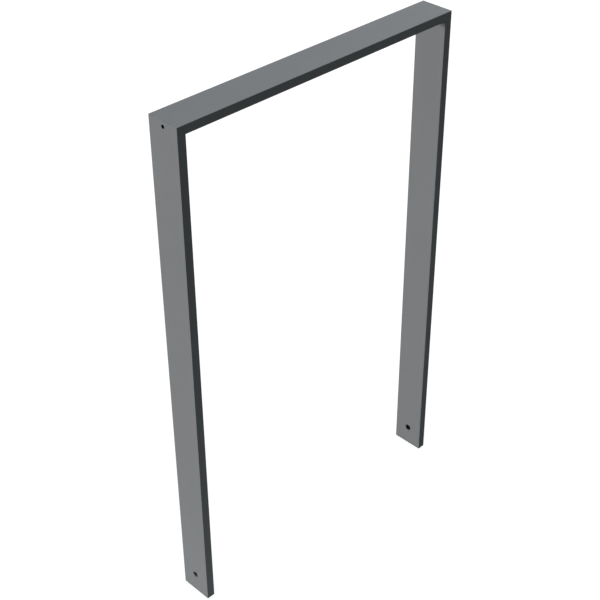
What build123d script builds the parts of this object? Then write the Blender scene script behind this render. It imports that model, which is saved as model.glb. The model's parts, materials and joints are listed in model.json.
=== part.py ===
"""Walk-through security gate: two legs and a beam of one flat channel section.

Each channel is a U of aluminium whose web faces outwards. Plastic covers close its open side towards the
passage, and the antennas, the reader and their leads sit on two slot rails inside. Units are millimetres.
X runs across the passage, Y runs through it and Z is up. The origin is on the floor, midway between the legs.

Places inside a channel are given from its own section: depth is the distance from the outer face of the
web, side is the distance from the middle of the section (along Y), and along is the height Z in a leg or
the distance X in the beam. What both legs hold is drawn on the left and mirrored to the right.
"""

import os
from math import pi

from build123d import *

# ---------------------------------------------------------------- driving dimensions
GATE_WIDTH = 1250.0
GATE_HEIGHT = 2000.0
SECTION_WIDTH = 132.0
SECTION_DEPTH = 32.0

WALL = 2.5
EDGE_RADIUS = 0.8
MITRE_GAP = 0.1
PAD_THICKNESS = 2.0
FIT_GAP = 0.3
TOUCH_GAP = 0.1
THROUGH = 200.0

# Slot rails inside the web
RAIL_SIDE = 36.0
RAIL_WIDTH = 17.4
RAIL_HEIGHT = 6.5
SLOT_WIDTH = 13.4
SLOT_HEIGHT = 4.5
SLOT_MOUTH = 8.2

# Covers and the ledges that they rest on
COVER_THICKNESS = 3.0
LEDGE_THICKNESS = 2.0
LEDGE_REACH = 2.0
RIB_SIDE = 60.3
RIB_THICKNESS = 1.8
RIB_HEIGHT = 4.3
HOOK_REACH = 1.8
HOOK_HEIGHT = 2.0
SERVICE_BOTTOM = 3.0
SERVICE_TOP = 430.0

# Holes in the webs and in the service covers, with the cable sleeves and the plugs in them
CORNER_HOLE_DROP = 20.0
CORNER_HOLE_RADIUS = 7.2
CABLE_HOLE_HEIGHT = 82.0
SLEEVE_HOLE_RADIUS = 13.6
SLEEVE_RADIUS = 13.5
SLEEVE_BORE_RADIUS = 12.0
SLEEVE_LENGTH = 14.0
SLEEVE_FLANGE_RADIUS = 17.0
SLEEVE_FLANGE_THICKNESS = 3.0
COVER_HOLE_RADIUS = 11.2
# Radii of each kind of plug: head, neck and barb
COVER_PLUG_RADII = (13.0, 11.0, 11.9)
SLEEVE_PLUG_RADII = (14.5, 11.9, 12.6)
PLUG_HEAD_HEIGHT = 1.2
PLUG_BEVEL = 0.7
PLUG_RIM = 1.3
PLUG_FLOOR = 1.2
PLUG_BARB_LENGTH = 2.0
PLUG_TAIL_LENGTH = 3.0

# Corner joint: a block in the leg, a block in the beam and one M8 screw
BLOCK_SIDE = 45.0
BLOCK_TONGUE_SIDE = 26.8
BLOCK_FRONT = 26.4
BLOCK_LENGTH = 90.0
BUTT_DEPTH = 22.0
LEG_BLOCK_BOTTOM = 1883.0
LEG_BLOCK_TOP = 1990.4
CORNER_SEAT_DEPTH = 17.0
CORNER_SHANK_RADIUS = 3.95
CORNER_SHANK_LENGTH = 30.0
CORNER_SHANK_BEVEL = 0.8
CORNER_HEAD_RADIUS = 6.5
CORNER_HEAD_HEIGHT = 8.0
CORNER_HEAD_BEVEL = 0.6
CORNER_COUNTERBORE_RADIUS = 6.8
CORNER_CLEARANCE_RADIUS = 4.3
CORNER_THREAD_RADIUS = 4.0
CORNER_THREAD_DEPTH = 27.0
CORNER_KEY_RADIUS = 3.4
CORNER_KEY_DEPTH = 4.0

# Foot bracket
FOOT_PLATE_THICKNESS = 5.0
FOOT_PLATE_DEPTH = 24.4
FOOT_EAR_WIDTH = 17.0
FOOT_EAR_THICKNESS = 5.0
FOOT_EAR_TOP = 150.0
FOOT_EAR_RADIUS = 6.0
ANCHOR_SIDE = 54.0
ANCHOR_DEPTH = 16.0
ANCHOR_RADIUS = 4.5

# M6 button head screws and slot nuts
SCREW_RADIUS = 2.9
SCREW_TIP_DEPTH = 3.4
SCREW_HEAD_RADIUS = 5.25
SCREW_HEAD_HEIGHT = 3.3
SCREW_HEAD_TAPER = 22
SCREW_KEY_RADIUS = 2.3
SCREW_KEY_DEPTH = 2.0
SCREW_CLEARANCE_RADIUS = 3.3
SCREW_COUNTERBORE_RADIUS = 5.8
NUT_SIDE = 13.0
NUT_LENGTH = 10.0
NUT_THICKNESS = 3.9
NUT_THREAD_RADIUS = 3.0
BLOCK_SEAT = 14.0
SHEET = 1.5

# Catch brackets and magnets of the service covers
CATCH_LENGTH = 16.0
CATCH_FRONT = 25.8
CATCH_FOOT_SIDE = 28.0
CATCH_RISER_SIDE = 45.0
CATCH_LIP_SIDE = 59.0
CATCH_HEIGHTS = (168.0, 412.0)
MAGNET_SIDE = 52.5
MAGNET_RADIUS = 5.0
MAGNET_THICKNESS = 3.0

# Antennas: the height of the lower end of each, then what each holds
ANTENNA_BASES = {"lower": 470.0, "upper": 1180.0}
ANTENNA_LENGTH = 420.0
ANTENNA_SIDE = 46.0
ANTENNA_SCREW_INSET = 20.0
PATCH_WIDTH = 76.0
PATCH_LENGTH = 165.0
PATCH_THICKNESS = 1.0
PATCH_BACK = 20.0
PATCH_STEPS = (105.0, 315.0)
POST_RADIUS = 3.5
POST_NECK_RADIUS = 1.9
POST_HOLE_RADIUS = 2.0
POST_HEAD_RADIUS = 3.0
POST_HEAD_HEIGHT = 1.2
POST_SIDE = 30.0
POST_OFFSET = 70.0
FEED_WIDTH = 20.0
FEED_BRANCH_WIDTH = 7.0
FEED_THICKNESS = 1.6
FEED_INSET = 3.5
FEED_PIN_RADIUS = 1.0
FEED_PIN_OFFSET = 45.0
TAB_HEIGHT = 12.0

# Reader in the left leg
READER_BOTTOM = 190.0
READER_HEIGHT = 200.0
READER_SIDE = 58.5
READER_CORNER = 3.0
READER_WALL = 1.6
READER_FRONT = 24.0
READER_SCREW_INSET = 12.0
FIN_WIDTH = 2.0
FIN_PITCH = 8.0
FIN_COUNT = 13
FIN_LENGTH = 150.0
FIN_HEIGHT = 2.6
BOARD_BACK = 15.0
BOARD_THICKNESS = 1.6
BOARD_SIDE = 52.0
BOARD_HEIGHT = 180.0
PILLAR_RADIUS = 3.5
PILLAR_SIDE = 47.0
PILLAR_INSET = 16.0
LID_SCREW_RADIUS = 1.4
LID_SCREW_HOLE_RADIUS = 1.6
LID_SCREW_HEAD_RADIUS = 2.75
LID_SCREW_HEAD_HEIGHT = 1.8
LID_SCREW_TIP_DEPTH = 11.5
# Chips and shield cans: side, height above the board's middle, width, height, thickness
BOARD_PARTS = (
    (-22.0, 45.0, 44.0, 50.0, 4.0),
    (26.0, 50.0, 36.0, 40.0, 4.0),
    (20.0, -20.0, 28.0, 28.0, 2.0),
    (-24.0, -20.0, 18.0, 18.0, 1.6),
)
JACK_BACK = 11.0
JACK_THICKNESS = 12.6
JACK_SIDE = 7.9
JACK_BOTTOM = 189.0
JACK_LENGTH = 17.0
JACK_MOUTH_WIDTH = 11.8
JACK_MOUTH_THICKNESS = 7.4
JACK_MOUTH_DEPTH = 12.0

# Leads, their connectors and clips
COAX_RADIUS = 2.0
COAX_BEND = 20.0
COAX_DEPTH = 12.0
NEAR_LANE = 49.5
FAR_LANE = 55.0
FERRULE_RADIUS = 2.4
FERRULE_LENGTH = 10.0
TERMINAL_WIDTH = 5.6
TERMINAL_FRONT = 14.8
SOUNDER_LEAD_RADIUS = 1.5
SOUNDER_LEAD_BEND = 15.0
SOUNDER_LEAD_DEPTH = 22.0
SOUNDER_JACK_RADIUS = 1.9
CLIP_LENGTH = 12.0
CLIP_INNER_SIDE = 45.5
CLIP_OUTER_SIDE = 63.3
CLIP_FRONT = 24.4
CLIP_MOUTH = 2.4
CLIP_HEIGHTS = (1000.0, 1750.0)
CLIP_PLACES = (-400.0, 0.0, 400.0)

# Sounder in the beam, under a rose of holes in the beam cover
SOUNDER_X = -300.0
SOUNDER_RADIUS = 18.0
SOUNDER_FRONT = 26.5
SOUNDER_BEVEL = 1.0
SOUNDER_PORT_RADIUS = 9.0
SOUNDER_PORT_DEPTH = 3.0
SOUNDER_BASE_LENGTH = 46.0
SOUNDER_BASE_CORNER = 4.0
SOUND_HOLE_RADIUS = 1.5
SOUND_HOLE_RING = 6.0
SOUND_HOLE_COUNT = 6

# ---------------------------------------------------------------- derived places
LEG_OUTER_X = -GATE_WIDTH / 2
LEG_INNER_X = LEG_OUTER_X + SECTION_DEPTH
BEAM_UNDERSIDE = GATE_HEIGHT - SECTION_DEPTH
CORNER_HOLE_HEIGHT = GATE_HEIGHT - CORNER_HOLE_DROP
BUTT_X = LEG_OUTER_X + BUTT_DEPTH
FLANGE_INSIDE = SECTION_WIDTH / 2 - WALL
RAIL_FACE = WALL + RAIL_HEIGHT
SLOT_LIP = WALL + SLOT_HEIGHT
COVER_BACK = SECTION_DEPTH - COVER_THICKNESS
COVER_SIDE = FLANGE_INSIDE - FIT_GAP
LEDGE_BACK = COVER_BACK - TOUCH_GAP - LEDGE_THICKNESS
SHEET_SEAT = RAIL_FACE + SHEET
READER_TOP = READER_BOTTOM + READER_HEIGHT
READER_MIDDLE = READER_BOTTOM + READER_HEIGHT / 2
LID_FRONT = READER_FRONT + READER_WALL

BOTH_RAILS = (-RAIL_SIDE, RAIL_SIDE)
BLOCK_SCREW_STEPS = (20.0, 65.0)
ANTENNA_SCREW_STEPS = (ANTENNA_SCREW_INSET, ANTENNA_LENGTH - ANTENNA_SCREW_INSET)
READER_SCREW_STEPS = (READER_SCREW_INSET, READER_HEIGHT - READER_SCREW_INSET)
PILLARS = [
    (side, READER_BOTTOM + step)
    for side in (-PILLAR_SIDE, PILLAR_SIDE)
    for step in (PILLAR_INSET, READER_HEIGHT - PILLAR_INSET)
]

# The places (side, along) of the screws in a leg and in the beam
FOOT_SCREWS = [(side, height) for side in BOTH_RAILS for height in (50.0, 125.0)]
LEG_BLOCK_SCREWS = [(side, LEG_BLOCK_BOTTOM + step) for side in BOTH_RAILS for step in BLOCK_SCREW_STEPS]
CATCH_SCREWS = [(side, height) for side in BOTH_RAILS for height in CATCH_HEIGHTS]
READER_SCREWS = [(side, READER_BOTTOM + step) for side in BOTH_RAILS for step in READER_SCREW_STEPS]
SOUNDER_SCREWS = [(side, SOUNDER_X) for side in BOTH_RAILS]
LEFT_BEAM_SCREWS = [(side, BUTT_X + step) for side in BOTH_RAILS for step in BLOCK_SCREW_STEPS]
BEAM_BLOCK_SCREWS = LEFT_BEAM_SCREWS + [(side, -along) for side, along in LEFT_BEAM_SCREWS]
ANTENNA_SCREWS = {
    level: [(side, base + step) for side in BOTH_RAILS for step in ANTENNA_SCREW_STEPS]
    for level, base in ANTENNA_BASES.items()
}

# The lane of each coax lead. The left antennas take theirs from below, the right ones from above.
ANTENNA_LANES = {
    ("left", "lower"): NEAR_LANE,
    ("left", "upper"): -NEAR_LANE,
    ("right", "lower"): FAR_LANE,
    ("right", "upper"): -FAR_LANE,
}

FROM_WEB = (Align.MIN, Align.CENTER)
UPWARD = (Align.CENTER, Align.MIN)
FROM_CORNER = (Align.MIN, Align.MIN)
STANDING = (Align.CENTER, Align.CENTER, Align.MIN)


# ---------------------------------------------------------------- planes, and writing the pieces
def leg_section(height):
    """Plane across the left leg: its X is the depth and its Y is the side."""
    return Plane(origin=(LEG_OUTER_X, 0, height), x_dir=(1, 0, 0), z_dir=(0, 0, 1))


def beam_section(x):
    """Plane across the beam: its X is the depth and its Y is the side."""
    return Plane(origin=(x, 0, GATE_HEIGHT), x_dir=(0, 0, -1), z_dir=(1, 0, 0))


def leg_face(depth):
    """Plane along the left leg, facing the passage: its X is the side and its Y is the height."""
    return Plane(origin=(LEG_OUTER_X + depth, 0, 0), x_dir=(0, 1, 0), z_dir=(1, 0, 0))


def beam_face(depth):
    """Plane along the beam, facing the passage: its X is the side and its Y is the distance X."""
    return Plane(origin=(0, 0, GATE_HEIGHT - depth), x_dir=(0, 1, 0), z_dir=(0, 0, -1))


def save(piece, name):
    """Labels the part of a finished block and writes it as parts/NAME.step."""
    piece.part.label = name
    export_step(piece.part, f"parts/{name}.step")


def save_right(piece, name):
    """Writes a piece that was drawn on the left as its mirror image on the right."""
    with BuildPart() as right:
        mirror(piece.part, about=Plane.YZ)
    save(right, name)


def save_pair(piece, name):
    """Writes a left piece and its mirror image on the right."""
    save(piece, f"left_{name}")
    save_right(piece, f"right_{name}")


def save_on(side_name, piece, name):
    """Writes a piece of one leg, which was drawn on the left."""
    if side_name == "left":
        save(piece, f"left_{name}")
    else:
        save_right(piece, f"right_{name}")


# ---------------------------------------------------------------- channels
def draw_channel_section():
    """The U section with two slot rails and the cover ledges, in the active sketch."""
    ledge_side = FLANGE_INSIDE - LEDGE_REACH / 2
    Rectangle(SECTION_DEPTH, SECTION_WIDTH, align=FROM_WEB)
    with Locations((WALL, 0)):
        Rectangle(SECTION_DEPTH - WALL, 2 * FLANGE_INSIDE, align=FROM_WEB, mode=Mode.SUBTRACT)
    with Locations((WALL, -RAIL_SIDE), (WALL, RAIL_SIDE)):
        Rectangle(RAIL_HEIGHT, RAIL_WIDTH, align=FROM_WEB)
        Rectangle(SLOT_HEIGHT, SLOT_WIDTH, align=FROM_WEB, mode=Mode.SUBTRACT)
        Rectangle(RAIL_HEIGHT, SLOT_MOUTH, align=FROM_WEB, mode=Mode.SUBTRACT)
    with Locations((LEDGE_BACK, -ledge_side), (LEDGE_BACK, ledge_side)):
        Rectangle(LEDGE_THICKNESS, LEDGE_REACH, align=FROM_WEB)


def mitre(corner_x, gap):
    """The 45 degree plane of a corner, moved by gap towards the beam, where its normal points."""
    normal = Vector(-corner_x, 0, abs(corner_x)).normalized()
    return Plane(origin=Vector(corner_x, 0, GATE_HEIGHT) + normal * gap, z_dir=normal)


def make_leg_channel():
    """Leg channel: mitred on top, with the holes of the corner screw and the cable sleeve in its web."""
    with BuildPart() as channel:
        with BuildSketch(leg_section(PAD_THICKNESS)) as section:
            draw_channel_section()
            fillet(section.vertices().group_by(Axis.X)[0], EDGE_RADIUS)
        extrude(amount=GATE_HEIGHT - PAD_THICKNESS)
        split(bisect_by=mitre(LEG_OUTER_X, -MITRE_GAP), keep=Keep.BOTTOM)
        with BuildSketch(leg_face(0)):
            with Locations((0, CORNER_HOLE_HEIGHT)):
                Circle(CORNER_HOLE_RADIUS)
            with Locations((0, CABLE_HOLE_HEIGHT)):
                Circle(SLEEVE_HOLE_RADIUS)
        extrude(amount=WALL, mode=Mode.SUBTRACT)
    save_pair(channel, "leg_channel")


def make_beam_channel():
    """Beam channel, mitred at both ends, with its open side down."""
    with BuildPart() as channel:
        with BuildSketch(beam_section(LEG_OUTER_X)) as section:
            draw_channel_section()
            fillet(section.vertices().group_by(Axis.X)[0], EDGE_RADIUS)
        extrude(amount=GATE_WIDTH)
        for corner_x in (LEG_OUTER_X, -LEG_OUTER_X):
            split(bisect_by=mitre(corner_x, MITRE_GAP), keep=Keep.TOP)
    save(channel, "beam_channel")


# ---------------------------------------------------------------- covers
def draw_cover_section(hooked):
    """A cover plate with two ribs on its back, and snap hooks on the ribs where it is hooked."""
    rib_back = COVER_BACK - RIB_HEIGHT
    hook_side = RIB_SIDE + RIB_THICKNESS / 2 + HOOK_REACH / 2
    with Locations((COVER_BACK, 0)):
        Rectangle(COVER_THICKNESS, 2 * COVER_SIDE, align=FROM_WEB)
    with Locations((rib_back, -RIB_SIDE), (rib_back, RIB_SIDE)):
        Rectangle(RIB_HEIGHT, RIB_THICKNESS, align=FROM_WEB)
    if hooked:
        with Locations((rib_back, -hook_side), (rib_back, hook_side)):
            Rectangle(HOOK_HEIGHT, HOOK_REACH, align=FROM_WEB)


def make_upper_cover():
    """Cover of a leg from its service cover up to the beam, snapped on to the ledges."""
    bottom = SERVICE_TOP + FIT_GAP
    with BuildPart() as cover:
        with BuildSketch(leg_section(bottom)):
            draw_cover_section(hooked=True)
        extrude(amount=BEAM_UNDERSIDE - FIT_GAP - bottom)
    save_pair(cover, "upper_cover")


def make_beam_cover():
    """Underside of the beam, which lies over the top ends of the leg covers, with its sound holes."""
    half_length = COVER_THICKNESS - LEG_INNER_X - FIT_GAP
    with BuildPart() as cover:
        with BuildSketch(beam_section(-half_length)):
            draw_cover_section(hooked=True)
        extrude(amount=2 * half_length)
        with BuildSketch(beam_face(COVER_BACK)):
            with Locations((0, SOUNDER_X)):
                Circle(SOUND_HOLE_RADIUS)
                with PolarLocations(SOUND_HOLE_RING, SOUND_HOLE_COUNT):
                    Circle(SOUND_HOLE_RADIUS)
        extrude(amount=COVER_THICKNESS, mode=Mode.SUBTRACT)
    save(cover, "beam_cover")


def make_service_cover():
    """Lower cover of a leg, which pulls straight off, with a plugged cable hole."""
    with BuildPart() as cover:
        with BuildSketch(leg_section(SERVICE_BOTTOM)):
            draw_cover_section(hooked=False)
        extrude(amount=SERVICE_TOP - SERVICE_BOTTOM)
        with BuildSketch(leg_face(COVER_BACK)):
            with Locations((0, CABLE_HOLE_HEIGHT)):
                Circle(COVER_HOLE_RADIUS)
        extrude(amount=COVER_THICKNESS, mode=Mode.SUBTRACT)
    save_pair(cover, "service_cover")


def make_cover_magnets():
    """Four disc magnets glued to the back of a service cover."""
    places = [(side, height) for side in (-MAGNET_SIDE, MAGNET_SIDE) for height in CATCH_HEIGHTS]
    with BuildPart() as magnets:
        with BuildSketch(leg_face(COVER_BACK)):
            with Locations(*places):
                Circle(MAGNET_RADIUS)
        extrude(amount=-MAGNET_THICKNESS)
    save_pair(magnets, "cover_magnets")


def make_catch_brackets():
    """Four steel Z brackets on the slot rails, which the cover magnets hold on to."""
    foot_width = CATCH_RISER_SIDE + SHEET - CATCH_FOOT_SIDE
    lip_width = CATCH_LIP_SIDE - CATCH_RISER_SIDE
    with BuildPart() as brackets:
        for height in CATCH_HEIGHTS:
            with BuildSketch(leg_section(height - CATCH_LENGTH / 2)):
                with Locations((RAIL_FACE, CATCH_FOOT_SIDE)):
                    Rectangle(SHEET, foot_width, align=FROM_CORNER)
                with Locations((RAIL_FACE, CATCH_RISER_SIDE)):
                    Rectangle(CATCH_FRONT - RAIL_FACE, SHEET, align=FROM_CORNER)
                with Locations((CATCH_FRONT - SHEET, CATCH_RISER_SIDE)):
                    Rectangle(SHEET, lip_width, align=FROM_CORNER)
                mirror(about=Plane.XZ)
            extrude(amount=CATCH_LENGTH)
        with BuildSketch(leg_face(RAIL_FACE)):
            with Locations(*CATCH_SCREWS):
                Circle(SCREW_CLEARANCE_RADIUS)
        extrude(amount=SHEET, mode=Mode.SUBTRACT)
    save_pair(brackets, "catch_brackets")


# ---------------------------------------------------------------- cable sleeves and plugs
def hole_profile(face_x, inward):
    """Plane of a half section through a cable hole: X is the radius, Y the depth under the face."""
    return Plane(origin=(face_x, 0, CABLE_HOLE_HEIGHT), x_dir=(0, 1, 0), z_dir=(0, 0, -inward))


def make_cable_sleeve():
    """Flanged sleeve in the web's cable hole, flush with the outer face."""
    flange_back = WALL + TOUCH_GAP
    flange_front = flange_back + SLEEVE_FLANGE_THICKNESS
    with BuildPart() as sleeve:
        with BuildSketch(hole_profile(LEG_OUTER_X, 1)):
            with BuildLine():
                Polyline(
                    (SLEEVE_BORE_RADIUS, 0),
                    (SLEEVE_RADIUS, 0),
                    (SLEEVE_RADIUS, flange_back),
                    (SLEEVE_FLANGE_RADIUS, flange_back),
                    (SLEEVE_FLANGE_RADIUS, flange_front),
                    (SLEEVE_RADIUS, flange_front),
                    (SLEEVE_RADIUS, SLEEVE_LENGTH),
                    (SLEEVE_BORE_RADIUS, SLEEVE_LENGTH),
                    close=True,
                )
            make_face()
        revolve(axis=Axis((LEG_OUTER_X, 0, CABLE_HOLE_HEIGHT), (1, 0, 0)))
    save_pair(sleeve, "cable_sleeve")


def make_plug(face_x, inward, radii, wall):
    """Cup-shaped blind plug in a round hole: head on the face, neck through the wall, barb behind it."""
    head, neck, barb = radii
    neck_end = wall + TOUCH_GAP
    barb_end = neck_end + PLUG_BARB_LENGTH
    tail_end = barb_end + PLUG_TAIL_LENGTH
    with BuildPart() as plug:
        with BuildSketch(hole_profile(face_x, inward)):
            with BuildLine():
                Polyline(
                    (0, tail_end - PLUG_FLOOR),
                    (neck - PLUG_RIM, tail_end - PLUG_FLOOR),
                    (neck - PLUG_RIM, -PLUG_HEAD_HEIGHT),
                    (head - PLUG_BEVEL, -PLUG_HEAD_HEIGHT),
                    (head, PLUG_BEVEL - PLUG_HEAD_HEIGHT),
                    (head, 0),
                    (neck, 0),
                    (neck, neck_end),
                    (barb, neck_end),
                    (neck - PLUG_BEVEL, barb_end),
                    (neck - PLUG_BEVEL, tail_end),
                    (0, tail_end),
                    close=True,
                )
            make_face()
        revolve(axis=Axis((face_x, 0, CABLE_HOLE_HEIGHT), (1, 0, 0)))
    return plug


def make_plugs():
    """Blind plugs: one closes the right sleeve, and one is in each service cover."""
    save_right(make_plug(LEG_OUTER_X, 1, SLEEVE_PLUG_RADII, SLEEVE_LENGTH), "right_sleeve_plug")
    save_pair(make_plug(LEG_INNER_X, -1, COVER_PLUG_RADII, COVER_THICKNESS), "inner_plug")


# ---------------------------------------------------------------- corner joint
def draw_block_section():
    """A corner block's section: wide in front of the rails, with a tongue between them to the web."""
    tongue_back = WALL + TOUCH_GAP
    with Locations((RAIL_FACE, 0)):
        Rectangle(BLOCK_FRONT - RAIL_FACE, 2 * BLOCK_SIDE, align=FROM_WEB)
    with Locations((tongue_back, 0)):
        Rectangle(BLOCK_FRONT - tongue_back, 2 * BLOCK_TONGUE_SIDE, align=FROM_WEB)


def counterbore_block(face, places):
    """The counterbored holes of a block's M6 screws. face is leg_face or beam_face."""
    with Locations(face(BLOCK_FRONT)):
        with Locations(*places):
            CounterBoreHole(SCREW_CLEARANCE_RADIUS, SCREW_COUNTERBORE_RADIUS, BLOCK_FRONT - BLOCK_SEAT, THROUGH)


def make_leg_block():
    """Block in the top of a leg: the corner screw's head seats in it, behind the hole in the web."""
    beam_block_bottom = GATE_HEIGHT - BLOCK_FRONT - 2 * TOUCH_GAP
    outer_side = Plane(origin=(LEG_OUTER_X, 0, CORNER_HOLE_HEIGHT), x_dir=(0, 1, 0), z_dir=(-1, 0, 0))
    with BuildPart() as block:
        with BuildSketch(leg_section(LEG_BLOCK_BOTTOM)):
            draw_block_section()
        extrude(amount=LEG_BLOCK_TOP - LEG_BLOCK_BOTTOM)
        with BuildSketch(leg_section(beam_block_bottom)):
            with Locations((BUTT_DEPTH, 0)):
                Rectangle(BLOCK_FRONT - BUTT_DEPTH, 2 * BLOCK_SIDE, align=FROM_WEB)
        extrude(amount=LEG_BLOCK_TOP - beam_block_bottom, mode=Mode.SUBTRACT)
        counterbore_block(leg_face, LEG_BLOCK_SCREWS)
        with Locations(outer_side):
            CounterBoreHole(CORNER_CLEARANCE_RADIUS, CORNER_COUNTERBORE_RADIUS, CORNER_SEAT_DEPTH, THROUGH)
    save_pair(block, "leg_corner_block")


def make_beam_block():
    """Block in the end of the beam, tapped for the corner screw; its end face butts on the leg block."""
    butt_face = Plane(origin=(BUTT_X, 0, CORNER_HOLE_HEIGHT), x_dir=(0, 1, 0), z_dir=(-1, 0, 0))
    with BuildPart() as block:
        with BuildSketch(beam_section(BUTT_X)):
            draw_block_section()
        extrude(amount=BLOCK_LENGTH)
        counterbore_block(beam_face, LEFT_BEAM_SCREWS)
        with Locations(butt_face):
            Hole(CORNER_THREAD_RADIUS, CORNER_THREAD_DEPTH)
    save_pair(block, "beam_end_block")


def make_corner_screw():
    """M8 socket head screw that pulls the beam block on to the leg block."""
    seat_x = LEG_OUTER_X + CORNER_SEAT_DEPTH
    seat = Plane(origin=(seat_x, 0, CORNER_HOLE_HEIGHT), x_dir=(0, 1, 0), z_dir=(-1, 0, 0))
    with BuildPart() as screw:
        with BuildSketch(seat):
            Circle(CORNER_SHANK_RADIUS)
        extrude(amount=-CORNER_SHANK_LENGTH)
        chamfer(screw.edges().group_by(Axis.X)[-1], CORNER_SHANK_BEVEL)
        with BuildSketch(seat):
            Circle(CORNER_HEAD_RADIUS)
        extrude(amount=CORNER_HEAD_HEIGHT)
        chamfer(screw.edges().group_by(Axis.X)[0], CORNER_HEAD_BEVEL)
        with BuildSketch(seat.offset(CORNER_HEAD_HEIGHT)):
            RegularPolygon(CORNER_KEY_RADIUS, 6)
        extrude(amount=-CORNER_KEY_DEPTH, mode=Mode.SUBTRACT)
    save_pair(screw, "corner_screw")


# ---------------------------------------------------------------- feet
def draw_anchor_holes():
    """The two floor anchor holes of a foot, cut from the active sketch."""
    with Locations((ANCHOR_DEPTH, -ANCHOR_SIDE), (ANCHOR_DEPTH, ANCHOR_SIDE)):
        Circle(ANCHOR_RADIUS, mode=Mode.SUBTRACT)


def make_foot_pad():
    """Rubber pad under a leg."""
    with BuildPart() as pad:
        with BuildSketch(leg_section(0)):
            Rectangle(SECTION_DEPTH, SECTION_WIDTH, align=FROM_WEB)
            draw_anchor_holes()
        extrude(amount=PAD_THICKNESS)
    save_pair(pad, "foot_pad")


def make_foot_bracket():
    """Steel plate on the pad, notched round the rails, with two upright ears that screw to them."""
    with BuildPart() as bracket:
        with BuildSketch(leg_section(PAD_THICKNESS)):
            with Locations((WALL + FIT_GAP, 0)):
                Rectangle(FOOT_PLATE_DEPTH - WALL - FIT_GAP, 2 * COVER_SIDE, align=FROM_WEB)
            with Locations((0, -RAIL_SIDE), (0, RAIL_SIDE)):
                Rectangle(RAIL_FACE, RAIL_WIDTH + 2 * FIT_GAP, align=FROM_WEB, mode=Mode.SUBTRACT)
            draw_anchor_holes()
        extrude(amount=FOOT_PLATE_THICKNESS)
        with BuildSketch(leg_face(RAIL_FACE)) as ears:
            with Locations((-RAIL_SIDE, PAD_THICKNESS), (RAIL_SIDE, PAD_THICKNESS)):
                Rectangle(FOOT_EAR_WIDTH, FOOT_EAR_TOP - PAD_THICKNESS, align=UPWARD)
            fillet(ears.vertices().group_by(Axis.Z)[-1], FOOT_EAR_RADIUS)
            with Locations(*FOOT_SCREWS):
                Circle(SCREW_CLEARANCE_RADIUS, mode=Mode.SUBTRACT)
        extrude(amount=FOOT_EAR_THICKNESS)
    save_pair(bracket, "foot_bracket")


# ---------------------------------------------------------------- inside fasteners
def make_nuts(face, places):
    """Slot nuts under the lips of the rails, one at each place. face is leg_face or beam_face."""
    with BuildPart() as nuts:
        with BuildSketch(face(SLOT_LIP)):
            with Locations(*places):
                Rectangle(NUT_SIDE, NUT_LENGTH)
                Circle(NUT_THREAD_RADIUS, mode=Mode.SUBTRACT)
        extrude(amount=-NUT_THICKNESS)
    return nuts


def make_screws(face, places_by_seat):
    """M6 button head screws from their seats down into the slot nuts."""
    with BuildPart() as screws:
        for seat, places in places_by_seat.items():
            with BuildSketch(face(seat)):
                with Locations(*places):
                    Circle(SCREW_HEAD_RADIUS)
            extrude(amount=SCREW_HEAD_HEIGHT, taper=SCREW_HEAD_TAPER)
            with BuildSketch(face(seat + SCREW_HEAD_HEIGHT)):
                with Locations(*places):
                    RegularPolygon(SCREW_KEY_RADIUS, 6)
            extrude(amount=-SCREW_KEY_DEPTH, mode=Mode.SUBTRACT)
            with BuildSketch(face(seat)):
                with Locations(*places):
                    Circle(SCREW_RADIUS)
            extrude(amount=SCREW_TIP_DEPTH - seat)
    return screws


def make_inside_fasteners():
    """Nuts and screws of both legs and the beam. Only the left leg holds the reader."""
    block_seated = FOOT_SCREWS + LEG_BLOCK_SCREWS
    sheet_seated = CATCH_SCREWS + ANTENNA_SCREWS["lower"] + ANTENNA_SCREWS["upper"]
    right_leg = {BLOCK_SEAT: block_seated, SHEET_SEAT: sheet_seated}
    left_leg = {**right_leg, RAIL_FACE + READER_WALL: READER_SCREWS}
    beam = {BLOCK_SEAT: BEAM_BLOCK_SCREWS, SHEET_SEAT: SOUNDER_SCREWS}
    save(make_nuts(leg_face, sum(left_leg.values(), [])), "left_leg_nuts")
    save_right(make_nuts(leg_face, sum(right_leg.values(), [])), "right_leg_nuts")
    save(make_nuts(beam_face, sum(beam.values(), [])), "beam_nuts")
    save(make_screws(leg_face, left_leg), "left_leg_screws")
    save_right(make_screws(leg_face, right_leg), "right_leg_screws")
    save(make_screws(beam_face, beam), "beam_screws")


# ---------------------------------------------------------------- antennas
def terminal_place(side_name, level):
    """Side and height of an antenna's terminal: at its lower end on the left, at its top on the right."""
    base = ANTENNA_BASES[level]
    step = TAB_HEIGHT / 2 if side_name == "left" else ANTENNA_LENGTH - TAB_HEIGHT / 2
    return ANTENNA_LANES[side_name, level], base + step


def draw_branch(side_name, level, reach, height):
    """A strip from the middle of an antenna out to its terminal, ending at reach from the lane."""
    lane, place = terminal_place(side_name, level)
    end = lane + reach if lane > 0 else lane - reach
    with Locations((end / 2, place)):
        Rectangle(abs(end), height)


def make_ground_plate(side_name, level):
    """Aluminium sheet on the rails, with a tab that carries the terminal."""
    with BuildPart() as plate:
        with BuildSketch(leg_face(RAIL_FACE)):
            with Locations((0, ANTENNA_BASES[level])):
                Rectangle(2 * ANTENNA_SIDE, ANTENNA_LENGTH, align=UPWARD)
            draw_branch(side_name, level, TERMINAL_WIDTH / 2, TAB_HEIGHT)
            with Locations(*ANTENNA_SCREWS[level]):
                Circle(SCREW_CLEARANCE_RADIUS, mode=Mode.SUBTRACT)
        extrude(amount=SHEET)
    save_on(side_name, plate, f"{level}_ground_plate")


def post_places():
    """Side and height of the spacer posts of both antennas of a leg."""
    return [
        (side, base + middle + offset)
        for base in ANTENNA_BASES.values()
        for middle in PATCH_STEPS
        for side in (-POST_SIDE, POST_SIDE)
        for offset in (-POST_OFFSET, POST_OFFSET)
    ]


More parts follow.
